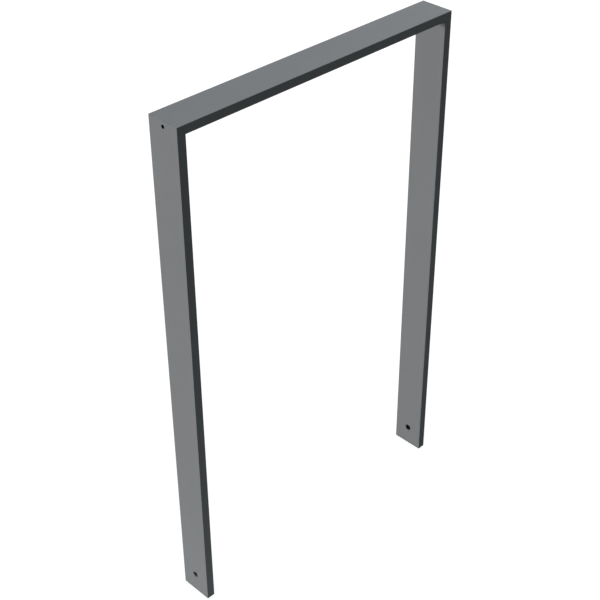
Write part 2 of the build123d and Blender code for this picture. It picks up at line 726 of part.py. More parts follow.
def make_patches():
    """The patch plates of both antennas of a leg, held off the ground plates by the posts."""
    middles = [(0, base + step) for base in ANTENNA_BASES.values() for step in PATCH_STEPS]
    with BuildPart() as patches:
        with BuildSketch(leg_face(PATCH_BACK)):
            with Locations(*middles):
                Rectangle(PATCH_WIDTH, PATCH_LENGTH)
            with Locations(*post_places()):
                Circle(POST_HOLE_RADIUS, mode=Mode.SUBTRACT)
        extrude(amount=PATCH_THICKNESS)
    save_pair(patches, "antenna_patches")


def make_posts():
    """Nylon posts of both antennas of a leg: body, neck through the patch, and head."""
    steps = (
        (SHEET_SEAT, POST_RADIUS, PATCH_BACK - SHEET_SEAT),
        (PATCH_BACK, POST_NECK_RADIUS, PATCH_THICKNESS),
        (PATCH_BACK + PATCH_THICKNESS, POST_HEAD_RADIUS, POST_HEAD_HEIGHT),
    )
    with BuildPart() as posts:
        for depth, radius, length in steps:
            with BuildSketch(leg_face(depth)):
                with Locations(*post_places()):
                    Circle(radius)
            extrude(amount=length)
    save_pair(posts, "antenna_posts")


def make_feed_boards(side_name):
    """A leg's printed feed lines, each with a pin up to both patches and a branch to the terminal."""
    feed_front = SHEET_SEAT + FEED_THICKNESS
    pins = [(0, base + step - FEED_PIN_OFFSET) for base in ANTENNA_BASES.values() for step in PATCH_STEPS]
    with BuildPart() as boards:
        with BuildSketch(leg_face(SHEET_SEAT)):
            for level, base in ANTENNA_BASES.items():
                with Locations((0, base + FEED_INSET)):
                    Rectangle(FEED_WIDTH, ANTENNA_LENGTH - 2 * FEED_INSET, align=UPWARD)
                draw_branch(side_name, level, -TERMINAL_WIDTH / 2, FEED_BRANCH_WIDTH)
        extrude(amount=FEED_THICKNESS)
        with BuildSketch(leg_face(feed_front)):
            with Locations(*pins):
                Circle(FEED_PIN_RADIUS)
        extrude(amount=PATCH_BACK - feed_front)
    save_on(side_name, boards, "feed_boards")


def make_terminals(side_name):
    """Brass terminals of a leg's two antennas, each with the ferrule that grips its coax lead."""
    turn = -1 if side_name == "left" else 1
    with BuildPart() as terminals:
        for level in ANTENNA_BASES:
            lane, height = terminal_place(side_name, level)
            end = height + turn * TAB_HEIGHT / 2
            with BuildSketch(leg_face(SHEET_SEAT)):
                with Locations((lane, height)):
                    Rectangle(TERMINAL_WIDTH, TAB_HEIGHT)
            extrude(amount=TERMINAL_FRONT - SHEET_SEAT)
            with BuildSketch(Plane(origin=(LEG_OUTER_X + COAX_DEPTH, lane, end), z_dir=(0, 0, turn))):
                Circle(FERRULE_RADIUS)
            extrude(amount=FERRULE_LENGTH)
    save_on(side_name, terminals, "antenna_terminals")


# ---------------------------------------------------------------- reader
def make_reader_housing():
    """Tray of the reader on the rails, with pillars for its board and an opening for the network jack."""
    floor_front = RAIL_FACE + READER_WALL
    jack_width = 2 * (JACK_SIDE + FIT_GAP)
    with BuildPart() as housing:
        with BuildSketch(leg_face(RAIL_FACE)):
            with Locations((0, READER_MIDDLE)):
                RectangleRounded(2 * READER_SIDE, READER_HEIGHT, READER_CORNER)
        extrude(amount=READER_FRONT - RAIL_FACE)
        offset(amount=-READER_WALL, openings=housing.faces().sort_by(Axis.X)[-1])
        with BuildSketch(leg_face(floor_front)):
            with Locations(*PILLARS):
                Circle(PILLAR_RADIUS)
                Circle(LID_SCREW_HOLE_RADIUS, mode=Mode.SUBTRACT)
        extrude(amount=BOARD_BACK - floor_front)
        with BuildSketch(leg_face(RAIL_FACE)):
            with Locations(*READER_SCREWS):
                Circle(SCREW_CLEARANCE_RADIUS)
        extrude(amount=READER_WALL, mode=Mode.SUBTRACT)
        with BuildSketch(leg_face(JACK_BACK - FIT_GAP)):
            with Locations((0, READER_BOTTOM)):
                Rectangle(jack_width, 2 * READER_WALL)
        extrude(amount=READER_FRONT - JACK_BACK + FIT_GAP, mode=Mode.SUBTRACT)
    save(housing, "reader_housing")


def make_reader_lid():
    """Finned lid of the reader."""
    with BuildPart() as lid:
        with BuildSketch(leg_face(READER_FRONT)):
            with Locations((0, READER_MIDDLE)):
                RectangleRounded(2 * READER_SIDE, READER_HEIGHT, READER_CORNER)
            with Locations(*PILLARS):
                Circle(LID_SCREW_HOLE_RADIUS, mode=Mode.SUBTRACT)
        extrude(amount=READER_WALL)
        with BuildSketch(leg_face(LID_FRONT)):
            with Locations((0, READER_MIDDLE)):
                with GridLocations(FIN_PITCH, 0, FIN_COUNT, 1):
                    Rectangle(FIN_WIDTH, FIN_LENGTH)
        extrude(amount=FIN_HEIGHT)
    save(lid, "reader_lid")


def make_reader_board():
    """Circuit board on the pillars, with its shield cans and chips, notched for the network jack."""
    notch_height = JACK_BOTTOM + JACK_LENGTH + FIT_GAP
    with BuildPart() as board:
        with BuildSketch(leg_face(BOARD_BACK)):
            with Locations((0, READER_MIDDLE)):
                Rectangle(2 * BOARD_SIDE, BOARD_HEIGHT)
            with Locations((0, READER_BOTTOM)):
                Rectangle(
                    2 * (JACK_SIDE + FIT_GAP), notch_height - READER_BOTTOM, align=UPWARD, mode=Mode.SUBTRACT
                )
            with Locations(*PILLARS):
                Circle(LID_SCREW_HOLE_RADIUS, mode=Mode.SUBTRACT)
        extrude(amount=BOARD_THICKNESS)
        for side, up, width, height, thickness in BOARD_PARTS:
            with BuildSketch(leg_face(BOARD_BACK + BOARD_THICKNESS)):
                with Locations((side, READER_MIDDLE + up)):
                    Rectangle(width, height)
            extrude(amount=thickness)
    save(board, "reader_board")


def make_lid_screws():
    """Four long screws through the reader's lid and board into the pillars."""
    with BuildPart() as screws:
        with BuildSketch(leg_face(LID_FRONT)):
            with Locations(*PILLARS):
                Circle(LID_SCREW_HEAD_RADIUS)
        extrude(amount=LID_SCREW_HEAD_HEIGHT)
        with BuildSketch(leg_face(LID_SCREW_TIP_DEPTH)):
            with Locations(*PILLARS):
                Circle(LID_SCREW_RADIUS)
        extrude(amount=LID_FRONT - LID_SCREW_TIP_DEPTH)
    save(screws, "reader_lid_screws")


def make_reader_jacks():
    """Coax jacks and the sounder jack on top of the reader."""
    lanes = [(COAX_DEPTH, side) for side in (-FAR_LANE, -NEAR_LANE, NEAR_LANE, FAR_LANE)]
    with BuildPart() as jacks:
        with BuildSketch(leg_section(READER_TOP)):
            with Locations(*lanes):
                Circle(FERRULE_RADIUS)
            with Locations((SOUNDER_LEAD_DEPTH, FAR_LANE)):
                Circle(SOUNDER_JACK_RADIUS)
        extrude(amount=FERRULE_LENGTH)
    save(jacks, "reader_jacks")


def make_network_jack():
    """Network and power jack in the reader's underside, with its mouth down."""
    with BuildPart() as jack:
        with BuildSketch(leg_section(JACK_BOTTOM)):
            with Locations((JACK_BACK, 0)):
                Rectangle(JACK_THICKNESS, 2 * JACK_SIDE, align=FROM_WEB)
        extrude(amount=JACK_LENGTH)
        with BuildSketch(leg_section(JACK_BOTTOM)):
            with Locations((JACK_BACK + JACK_THICKNESS / 2, 0)):
                Rectangle(JACK_MOUTH_THICKNESS, JACK_MOUTH_WIDTH)
        extrude(amount=JACK_MOUTH_DEPTH, mode=Mode.SUBTRACT)
    save(jack, "network_jack")


# ---------------------------------------------------------------- sounder
def make_sounder():
    """Alarm sounder on its base in the beam, with its port towards the sound holes."""
    with BuildPart() as sounder:
        with BuildSketch(beam_face(RAIL_FACE)):
            with Locations((0, SOUNDER_X)):
                RectangleRounded(2 * ANTENNA_SIDE, SOUNDER_BASE_LENGTH, SOUNDER_BASE_CORNER)
            with Locations(*SOUNDER_SCREWS):
                Circle(SCREW_CLEARANCE_RADIUS, mode=Mode.SUBTRACT)
        extrude(amount=SHEET)
        with BuildSketch(beam_face(SHEET_SEAT)):
            with Locations((0, SOUNDER_X)):
                Circle(SOUNDER_RADIUS)
        extrude(amount=SOUNDER_FRONT - SHEET_SEAT)
        chamfer(sounder.edges().group_by(Axis.Z)[0], SOUNDER_BEVEL)
        with BuildSketch(beam_face(SOUNDER_FRONT)):
            with Locations((0, SOUNDER_X)):
                Circle(SOUNDER_PORT_RADIUS)
        extrude(amount=-SOUNDER_PORT_DEPTH, mode=Mode.SUBTRACT)
    save(sounder, "sounder")


# ---------------------------------------------------------------- leads and clips
def make_lead(name, points, radius, bend):
    """Round lead along straight runs joined by arcs; prints its length and how true its volume is."""
    with BuildPart() as lead:
        with BuildLine() as route:
            if len(points) > 2:
                FilletPolyline(*points, radius=bend)
            else:
                Line(*points)
        path = route.wire()
        with BuildSketch(Plane(origin=path @ 0, z_dir=path % 0)):
            Circle(radius)
        sweep(path=path, transition=Transition.ROUND)
    expected = path.length * pi * radius**2
    print(f"{name}: {path.length:.0f} mm long, bends {bend} mm, volume ratio {lead.part.volume / expected:.4f}")
    save(lead, name)


def make_leads():
    """Coax leads from the reader to the four antennas, and the sounder's lead."""
    start_z = READER_TOP + FERRULE_LENGTH
    reach = TAB_HEIGHT / 2 + FERRULE_LENGTH
    coax_x = LEG_OUTER_X + COAX_DEPTH
    coax_z = GATE_HEIGHT - COAX_DEPTH
    for level in ANTENNA_BASES:
        lane, height = terminal_place("left", level)
        route = [(coax_x, lane, start_z), (coax_x, lane, height - reach)]
        make_lead(f"left_{level}_coax", route, COAX_RADIUS, COAX_BEND)
    for level in ANTENNA_BASES:
        lane, height = terminal_place("right", level)
        route = [
            (coax_x, lane, start_z),
            (coax_x, lane, coax_z),
            (-coax_x, lane, coax_z),
            (-coax_x, lane, height + reach),
        ]
        make_lead(f"right_{level}_coax", route, COAX_RADIUS, COAX_BEND)
    lead_x = LEG_OUTER_X + SOUNDER_LEAD_DEPTH
    lead_z = GATE_HEIGHT - SOUNDER_LEAD_DEPTH
    route = [
        (lead_x, FAR_LANE, start_z),
        (lead_x, FAR_LANE, lead_z),
        (SOUNDER_X, FAR_LANE, lead_z),
        (SOUNDER_X, SOUNDER_RADIUS, lead_z),
    ]
    make_lead("sounder_lead", route, SOUNDER_LEAD_RADIUS, SOUNDER_LEAD_BEND)


def draw_clip_section():
    """Lead clips at both sides of a channel: combs whose mouths the leads snap in through."""
    clip_back = WALL + TOUCH_GAP
    with Locations((clip_back, CLIP_INNER_SIDE)):
        Rectangle(CLIP_FRONT - clip_back, CLIP_OUTER_SIDE - CLIP_INNER_SIDE, align=FROM_CORNER)
    with Locations((COAX_DEPTH, NEAR_LANE), (COAX_DEPTH, FAR_LANE)):
        Circle(COAX_RADIUS + TOUCH_GAP, mode=Mode.SUBTRACT)
        Rectangle(CLIP_FRONT - COAX_DEPTH, CLIP_MOUTH, align=FROM_WEB, mode=Mode.SUBTRACT)
    with Locations((SOUNDER_LEAD_DEPTH, FAR_LANE)):
        Circle(SOUNDER_LEAD_RADIUS + TOUCH_GAP, mode=Mode.SUBTRACT)
    mirror(about=Plane.XZ)


def make_lead_clips():
    """Plastic clips that hold the leads in the side ducts of the legs and the beam."""
    with BuildPart() as leg_clips:
        for height in CLIP_HEIGHTS:
            with BuildSketch(leg_section(height)):
                draw_clip_section()
            extrude(amount=CLIP_LENGTH)
    save_pair(leg_clips, "lead_clips")
    with BuildPart() as beam_clips:
        for x in CLIP_PLACES:
            with BuildSketch(beam_section(x)):
                draw_clip_section()
            extrude(amount=CLIP_LENGTH)
    save(beam_clips, "beam_lead_clips")


# ---------------------------------------------------------------- the whole gate
def main():
    """Makes every piece of the gate and writes it to the parts folder."""
    os.makedirs("parts", exist_ok=True)
    make_leg_channel()
    make_beam_channel()
    make_upper_cover()
    make_beam_cover()
    make_service_cover()
    make_cover_magnets()
    make_catch_brackets()
    make_cable_sleeve()
    make_plugs()
    make_leg_block()
    make_beam_block()
    make_corner_screw()
    make_foot_pad()
    make_foot_bracket()
    make_inside_fasteners()
    for side_name in ("left", "right"):
        for level in ANTENNA_BASES:
            make_ground_plate(side_name, level)
        make_feed_boards(side_name)
        make_terminals(side_name)
    make_patches()
    make_posts()
    make_reader_housing()
    make_reader_lid()
    make_reader_board()
    make_lid_screws()
    make_reader_jacks()
    make_network_jack()
    make_sounder()
    make_leads()
    make_lead_clips()


main()
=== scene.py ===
"""Looks of the walk-through security gate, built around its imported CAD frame. Lengths are in metres."""

import itertools
import json
import math

import bmesh
import bpy
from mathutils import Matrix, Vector


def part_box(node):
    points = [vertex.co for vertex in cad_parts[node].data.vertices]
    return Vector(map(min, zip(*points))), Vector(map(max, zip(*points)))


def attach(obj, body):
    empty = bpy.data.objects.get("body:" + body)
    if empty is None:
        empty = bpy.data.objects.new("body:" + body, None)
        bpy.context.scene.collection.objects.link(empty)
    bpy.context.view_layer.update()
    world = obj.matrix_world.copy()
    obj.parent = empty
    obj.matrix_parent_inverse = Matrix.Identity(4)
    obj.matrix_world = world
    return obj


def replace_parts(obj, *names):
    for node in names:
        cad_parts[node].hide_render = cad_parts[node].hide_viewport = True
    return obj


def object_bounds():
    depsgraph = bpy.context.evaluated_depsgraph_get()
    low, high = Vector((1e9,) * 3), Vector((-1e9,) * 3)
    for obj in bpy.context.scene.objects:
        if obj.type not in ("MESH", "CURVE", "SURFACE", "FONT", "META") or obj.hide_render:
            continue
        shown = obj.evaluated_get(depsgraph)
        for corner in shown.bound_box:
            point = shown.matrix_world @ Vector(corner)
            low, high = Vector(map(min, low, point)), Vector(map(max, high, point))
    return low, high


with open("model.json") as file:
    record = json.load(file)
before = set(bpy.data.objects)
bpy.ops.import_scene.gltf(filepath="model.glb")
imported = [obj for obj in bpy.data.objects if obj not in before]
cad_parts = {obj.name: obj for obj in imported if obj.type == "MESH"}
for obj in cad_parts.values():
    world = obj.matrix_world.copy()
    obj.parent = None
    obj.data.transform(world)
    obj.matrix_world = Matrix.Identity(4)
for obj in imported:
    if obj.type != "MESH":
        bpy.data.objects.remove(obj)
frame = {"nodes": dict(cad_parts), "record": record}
CAD_LOW, CAD_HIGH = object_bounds()
NODES = frame["nodes"]
MM = 0.001

# ---------------------------------------------------------------- camera, light and floor
VIEW_BACK = Vector((-1, -1, 1)).normalized()
VIEW_DISTANCE = 4.786
LENS = 78.05
SENSOR = 36.0
SHIFT_X = -0.01935
SHIFT_Y = 0.0175

# Suns: where the rays come from, strength in W/m2, angle across and colour
FILL_SOFTNESS = math.radians(40)
KEY_FROM = Vector((-1, 0.9, 0.11))
KEY_STRENGTH = 3.8
KEY_SOFTNESS = math.radians(9)
KEY_COLOUR = (1.0, 1.01, 1.02)
SKY_FROM = Vector((0, 0, 1))
SKY_STRENGTH = 2.3
SKY_COLOUR = (0.93, 1.0, 1.035)
REAR_FROM = Vector((1, 0.35, 0.1))
REAR_STRENGTH = 2.2
FRONT_FROM = Vector((-0.2, -1, -0.3))
FRONT_STRENGTH = 0.27
FRONT_COLOUR = (0.85, 1.0, 1.03)

# Disc of light just over the floor, by the foot of the left leg
BOUNCE_RADIUS = 1.2
BOUNCE_RADIANCE = 0.19
BOUNCE_PLACE = (-1.1, -0.7)
BOUNCE_LIFT = 0.0005
BOUNCE_COLOUR = (0.85, 1.0, 1.02)

FLOOR_RADIUS = 14.0
FLOOR_CORNERS = 96
FLOOR_GLOW = 0.86
FLOOR_COLOUR = (0.2, 0.2, 0.2, 1)
WHITE = (1, 1, 1, 1)


def link(thing):
    bpy.context.collection.objects.link(thing)
    return thing


def make_camera():
    """Camera on the diagonal, aimed at the middle of the gate."""
    middle = Vector((0, 0, (CAD_LOW.z + CAD_HIGH.z) / 2))
    camera = link(bpy.data.objects.new("camera", bpy.data.cameras.new("camera")))
    camera.data.lens = LENS
    camera.data.sensor_width = SENSOR
    camera.data.shift_x = SHIFT_X
    camera.data.shift_y = SHIFT_Y
    camera.location = middle + VIEW_BACK * VIEW_DISTANCE
    camera.rotation_euler = (-VIEW_BACK).to_track_quat("-Z", "Y").to_euler()
    bpy.context.scene.camera = camera


def make_sun(name, comes_from, strength, softness=FILL_SOFTNESS, colour=(1, 1, 1), shadow=True):
    """Distant light whose rays come from the given direction."""
    sun = link(bpy.data.objects.new(name, bpy.data.lights.new(name, "SUN")))
    sun.data.energy = strength
    sun.data.angle = softness
    sun.data.color = colour
    sun.data.use_shadow = shadow
    sun.rotation_euler = comes_from.to_track_quat("Z", "Y").to_euler()


def make_bounce():
    """Soft light from a disc just over the floor upwards, hidden from the camera."""
    bounce = link(bpy.data.objects.new("bounce", bpy.data.lights.new("bounce", "AREA")))
    bounce.data.shape = "DISK"
    bounce.data.size = 2 * BOUNCE_RADIUS
    bounce.data.energy = BOUNCE_RADIANCE * math.pi * math.pi * BOUNCE_RADIUS ** 2
    bounce.data.color = BOUNCE_COLOUR
    bounce.location = (*BOUNCE_PLACE, BOUNCE_LIFT)
    bounce.rotation_euler = (math.pi, 0, 0)
    bounce.visible_camera = False


def make_floor():
    """Pale floor: it glows softly, so that the shadows on it stay faint, and lights nothing itself."""
    bpy.ops.mesh.primitive_circle_add(vertices=FLOOR_CORNERS, radius=FLOOR_RADIUS, fill_type="NGON")
    floor = bpy.context.object
    floor.name = "studio_floor"
    floor.visible_diffuse = False
    floor.visible_glossy = False
    material = bpy.data.materials.new("studio_floor")
    material.use_nodes = True
    shader = material.node_tree.nodes["Principled BSDF"]
    shader.inputs["Base Color"].default_value = FLOOR_COLOUR
    shader.inputs["Roughness"].default_value = 1.0
    shader.inputs["Emission Color"].default_value = WHITE
    shader.inputs["Emission Strength"].default_value = FLOOR_GLOW
    floor.data.materials.append(material)


def make_studio():
    """White surround, pale floor, key light, light from above and weak fills."""
    scene = bpy.context.scene
    scene.view_settings.view_transform = "Standard"
    world = bpy.data.worlds.new("surround")
    world.use_nodes = True
    world.node_tree.nodes["Background"].inputs["Color"].default_value = WHITE
    world.cycles_visibility.diffuse = False
    scene.world = world
    make_sun("key", KEY_FROM, KEY_STRENGTH, KEY_SOFTNESS, KEY_COLOUR)
    make_sun("sky", SKY_FROM, SKY_STRENGTH, colour=SKY_COLOUR)
    make_sun("rear", REAR_FROM, REAR_STRENGTH)
    make_sun("front", FRONT_FROM, FRONT_STRENGTH, colour=FRONT_COLOUR, shadow=False)
    make_bounce()
    make_floor()


# ---------------------------------------------------------------- materials
MIX_DARK, MIX_LIGHT, MIX_RESULT = 6, 7, 2
METAL_CLASSES = ("brass", "chrome", "aluminium", "brushed_steel")
ALONG_LEG = (1, 1, 0.01)
ROLLED = (1, 1, 0.05)
EVEN = (1, 1, 1)
COAT_SPECULAR = 0.06
ZINC_BLUE, ZINC_STRAW = (0.50, 0.53, 0.58), (0.66, 0.64, 0.57)
COPPER_DULL, COPPER_CLEAN = (0.36, 0.16, 0.09), (0.48, 0.215, 0.125)
WEAVE_PITCH = 0.0011


class Finish:
    """One procedural material, built around its Principled shader. Patterns are in metres."""

    def __init__(self, slot, roughness, specular=0.5):
        self.slot = slot["slot"]
        self.colour = slot["base_color"][:3]
        self.material = bpy.data.materials.new(self.slot)
        self.material.use_nodes = True
        self.tree = self.material.node_tree
        self.shader = self.tree.nodes["Principled BSDF"]
        self.set("Base Color", (*self.colour, 1))
        self.set("Roughness", roughness)
        self.set("Metallic", 1.0 if slot["class"] in METAL_CLASSES else 0.0)
        self.set("Specular IOR Level", specular)
        self.place = self.add("ShaderNodeTexCoord", {}).outputs["Object"]

    def set(self, name, value):
        self.shader.inputs[name].default_value = value

    def drive(self, name, output):
        self.tree.links.new(output, self.shader.inputs[name])

    def add(self, kind, inputs, **settings):
        """A new node. Each input is a value or another node's output."""
        node = self.tree.nodes.new(kind)
        for key, value in settings.items():
            setattr(node, key, value)
        for key, value in inputs.items():
            if isinstance(value, bpy.types.NodeSocket):
                self.tree.links.new(value, node.inputs[key])
            else:
                node.inputs[key].default_value = value
        return node

    def noise(self, scale, detail=2.0, stretch=EVEN):
        """Cloudy pattern with about scale cells to the metre, longer along an axis whose stretch is small."""
        mapping = self.add("ShaderNodeMapping", {"Vector": self.place, "Scale": stretch})
        inputs = {"Vector": mapping.outputs["Vector"], "Scale": scale, "Detail": detail}
        return self.add("ShaderNodeTexNoise", inputs).outputs["Fac"]

    def lines(self, pitch, axis, distortion=0.0):
        """Parallel soft lines of this pitch in metres, across an axis."""
        inputs = {"Vector": self.place, "Scale": math.pi / (10 * pitch), "Distortion": distortion}
        return self.add("ShaderNodeTexWave", inputs, bands_direction=axis).outputs["Fac"]

    def math(self, operation, first, second):
        return self.add("ShaderNodeMath", {0: first, 1: second}, operation=operation).outputs["Value"]

    def average(self, first, second):
        return self.math("MULTIPLY", self.math("ADD", first, second), 0.5)

    def spread(self, pattern, low, high, start=0.3, end=0.7):
        """The pattern's part from start to end, as numbers from low to high."""
        inputs = {"Value": pattern, "From Min": start, "From Max": end, "To Min": low, "To Max": high}
        return self.add("ShaderNodeMapRange", inputs).outputs["Result"]

    def paint(self, pattern, dark, light, start=0.3, end=0.7):
        """Colours from dark to light as the pattern goes from start to end; numbers scale the own colour."""
        ends = [
            (*(tuple(min(1, c * tone) for c in self.colour) if isinstance(tone, float) else tone), 1)
            for tone in (dark, light)
        ]
        mix = self.add("ShaderNodeMix", {"Factor": self.spread(pattern, 0, 1, start, end)}, data_type="RGBA")
        mix.inputs[MIX_DARK].default_value, mix.inputs[MIX_LIGHT].default_value = ends
        self.drive("Base Color", mix.outputs[MIX_RESULT])

    def roughen(self, pattern, low, high):
        self.drive("Roughness", self.spread(pattern, low, high))

    def emboss(self, height, depth):
        """Bumps of this depth in metres where height goes from 0 to 1."""
        bump = self.add("ShaderNodeBump", {"Height": height, "Distance": depth, "Strength": 1.0})
        self.drive("Normal", bump.outputs["Normal"])


def grained(slot, roughness, grain, depth, tone, specular=0.5, cloud=9):
    """Coat or moulded surface: fine grain of that many cells to the metre, and slow changes of tone."""
    finish = Finish(slot, roughness, specular)
    peel = finish.noise(grain, 3)
    finish.paint(finish.average(peel, finish.noise(cloud, 3)), 1 - tone, 1 + tone)
    finish.roughen(peel, roughness - 0.06, roughness + 0.06)
    finish.emboss(peel, depth)
    return finish


def streaked(slot, roughness, tone, stretch=ALONG_LEG, scale=1600, depth=4e-6):
    """Rolled, drawn or brushed metal: fine streaks along one way, over slow clouds."""
    finish = Finish(slot, roughness)
    streaks = finish.noise(scale, 4, stretch)
    clouds = finish.noise(30, 3)
    finish.paint(finish.average(streaks, clouds), 1 - tone, 1 + tone)
    finish.roughen(finish.average(streaks, clouds), roughness - 0.1, roughness + 0.12)
    finish.emboss(streaks, depth)
    return finish


def machined(slot, roughness, tone, pitch, axis, depth=6e-6):
    """Milled or turned metal: tool marks of one pitch across an axis, a little uneven."""
    finish = Finish(slot, roughness)
    marks = finish.lines(pitch, axis, distortion=0.6)
    clouds = finish.noise(90, 3)
    finish.paint(finish.average(marks, clouds), 1 - tone, 1 + tone)
    finish.roughen(clouds, roughness - 0.07, roughness + 0.1)
    finish.emboss(finish.average(marks, finish.noise(2500, 2)), depth)
    return finish


def zinc_plated(slot):
    """Zinc plate: bluish and straw-coloured clouds over rolled sheet."""
    finish = Finish(slot, 0.38)
    clouds = finish.noise(55, 4)
    finish.paint(clouds, ZINC_BLUE, ZINC_STRAW, 0.35, 0.65)
    finish.roughen(finish.average(clouds, finish.noise(1400, 3)), 0.28, 0.5)
    finish.emboss(finish.noise(1400, 3, ALONG_LEG), 5e-6)
    return finish


def dull_copper(slot):
    """Copper sheet with brown tarnish in clouds and small spots, over fine rolling marks."""
    finish = Finish(slot, 0.4)
    spots = finish.average(finish.noise(24, 5), finish.noise(160, 4))
    tarnish = finish.average(spots, finish.noise(4200, 2, ROLLED))
    finish.paint(tarnish, COPPER_DULL, COPPER_CLEAN, 0.4, 0.6)
    finish.roughen(spots, 0.58, 0.34)
    finish.emboss(finish.noise(4200, 2, ROLLED), 3e-6)
    return finish


def solder_mask(slot):
    """Green lacquer over woven glass: the crossing threads show faintly."""
    finish = Finish(slot, 0.3)
    weave = finish.math("MULTIPLY", finish.lines(WEAVE_PITCH, "Y", 0.3), finish.lines(WEAVE_PITCH, "Z", 0.3))
    finish.paint(finish.average(weave, finish.noise(60, 3)), 0.75, 1.35, 0.2, 0.7)
    finish.roughen(weave, 0.24, 0.36)
    finish.emboss(weave, 1.5e-5)
    return finish


def translucent(slot, roughness, milky):
    """Natural nylon: light goes a little way in, and the flow of the melt shows as faint clouds."""
    finish = grained(slot, roughness, 700, 1.5e-5, 0.05, cloud=120)
    finish.set("Subsurface Weight", milky)
    finish.set("Subsurface Radius", (0.002, 0.002, 0.0015))
    return finish


def make_finishes():
    slots = {slot["slot"]: slot for slot in frame["record"]["materials"]}
    made = [
        grained(slots["frame_coating"], 0.6, 1500, 4e-5, 0.035, specular=COAT_SPECULAR),
        grained(slots["cover_plastic"], 0.62, 2300, 3e-5, 0.03, specular=COAT_SPECULAR, cloud=6),
        grained(slots["black_rubber"], 0.85, 1100, 1.2e-4, 0.25, specular=0.3, cloud=60),
        grained(slots["plug_plastic"], 0.6, 1800, 4e-5, 0.2, specular=0.1, cloud=80),
        grained(slots["reader_coating"], 0.5, 1300, 6e-5, 0.12, cloud=40),
        grained(slots["sounder_plastic"], 0.5, 1900, 4e-5, 0.15, cloud=90),
        grained(slots["lead_jacket"], 0.42, 500, 2e-5, 0.15, cloud=35),
        translucent(slots["nylon_white"], 0.42, 0.15),
        translucent(slots["clip_nylon"], 0.45, 0.1),
        streaked(slots["plate_aluminium"], 0.36, 0.06),
        streaked(slots["reader_aluminium"], 0.42, 0.1, scale=2200),
        streaked(slots["magnet_nickel"], 0.24, 0.05, stretch=EVEN, scale=400),
        streaked(slots["black_steel"], 0.45, 0.3, stretch=EVEN, scale=900, depth=1e-5),
        machined(slots["bright_steel"], 0.3, 0.06, 0.00035, "X"),
        machined(slots["block_aluminium"], 0.34, 0.05, 0.0012, "Y"),
        machined(slots["block_black"], 0.5, 0.2, 0.0012, "Y"),
        machined(slots["terminal_brass"], 0.3, 0.08, 0.0004, "Z"),
        zinc_plated(slots["zinc_steel"]),
        dull_copper(slots["patch_copper"]),
        solder_mask(slots["board_laminate"]),
    ]
    return {finish.slot: finish.material for finish in made}


def coat_nodes(finishes):
    """Puts each CAD node's finish in its material slot."""
    for subpart in frame["record"]["subparts"]:
        mesh = NODES[subpart["node"]].data
        mesh.materials.clear()
        mesh.materials.append(finishes[subpart["material_slot"]])


# ---------------------------------------------------------------- shapes of the detail pieces
# Sizes and profiles from here on are in millimetres. Places are vectors in metres.
SMOOTH_BELOW = math.radians(35)
WELD_DISTANCE = 1e-7
X_AXIS, Y_AXIS, Z_AXIS = Vector((1, 0, 0)), Vector((0, 1, 0)), Vector((0, 0, 1))
COARSE, MEDIUM, FINE = 16, 20, 28


def settle(name, shape, body, slot):
    """Makes a finished shape a piece that rides on a body, in the finish of a slot."""
    bmesh.ops.remove_doubles(shape, verts=shape.verts, dist=WELD_DISTANCE)
    bmesh.ops.recalc_face_normals(shape, faces=shape.faces)
    mesh = bpy.data.meshes.new(name)
    shape.to_mesh(mesh)
    shape.free()
    mesh.polygons.foreach_set("use_smooth", [True] * len(mesh.polygons))
    mesh.set_sharp_from_angle(angle=SMOOTH_BELOW)
    mesh.materials.append(FINISHES[slot])
    piece = link(bpy.data.objects.new(name, mesh))
    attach(piece, body)
    return piece


def join(shape, ring, following):
    """Faces between two closed rings of corners, leaving out those that shrink to a line."""
    for corner in range(len(ring)):
        after = (corner + 1) % len(ring)
        quad = (ring[corner], following[corner], following[after], ring[after])
        if len({tuple(vert.co) for vert in quad}) > 2:
            shape.faces.new(quad)


def turn(shape, base, axis, profile, steps=FINE):
    """Adds a solid turned about an axis through base. Its profile is a closed loop of (radius, height)."""
    turned = axis.to_track_quat("Z", "Y")
    rings = []
    for step in range(steps):
        angle = 2 * math.pi * step / steps
        outwards = turned @ Vector((math.cos(angle), math.sin(angle), 0))
        rings.append([shape.verts.new(base + (outwards * r + axis * h) * MM) for r, h in profile])
    for ring, following in zip(rings, rings[1:] + rings[:1]):
        join(shape, ring, following)


def strand(shape, points, across, up):
    """Adds a thin square wire along points; across and up are its half widths as vectors."""
    rings = [
        [shape.verts.new(point + across * a + up * b) for a, b in ((-1, -1), (1, -1), (1, 1), (-1, 1))]
        for point in points
    ]
    for ring, following in zip(rings, rings[1:]):
        join(shape, ring, following)
    shape.faces.new(rings[0])
    shape.faces.new(rings[-1])


# ---------------------------------------------------------------- boots on the coax leads
COAX_RADIUS = 2.0
FERRULE_LENGTH = 10.0
BOOT_PROFILE = (
    (2.42, -8), (2.9, -8), (3.05, -7.4), (3.05, 1.5), (2.7, 2.2), (2.7, 3.2), (2.95, 3.6), (2.95, 4.6),
    (2.55, 5), (2.55, 6), (2.8, 6.4), (2.8, 7.4), (2.4, 7.8), (2.4, 8.8), (2.6, 9.2), (2.6, 10.2),
    (2.3, 11.6), (2.02, 12),
)


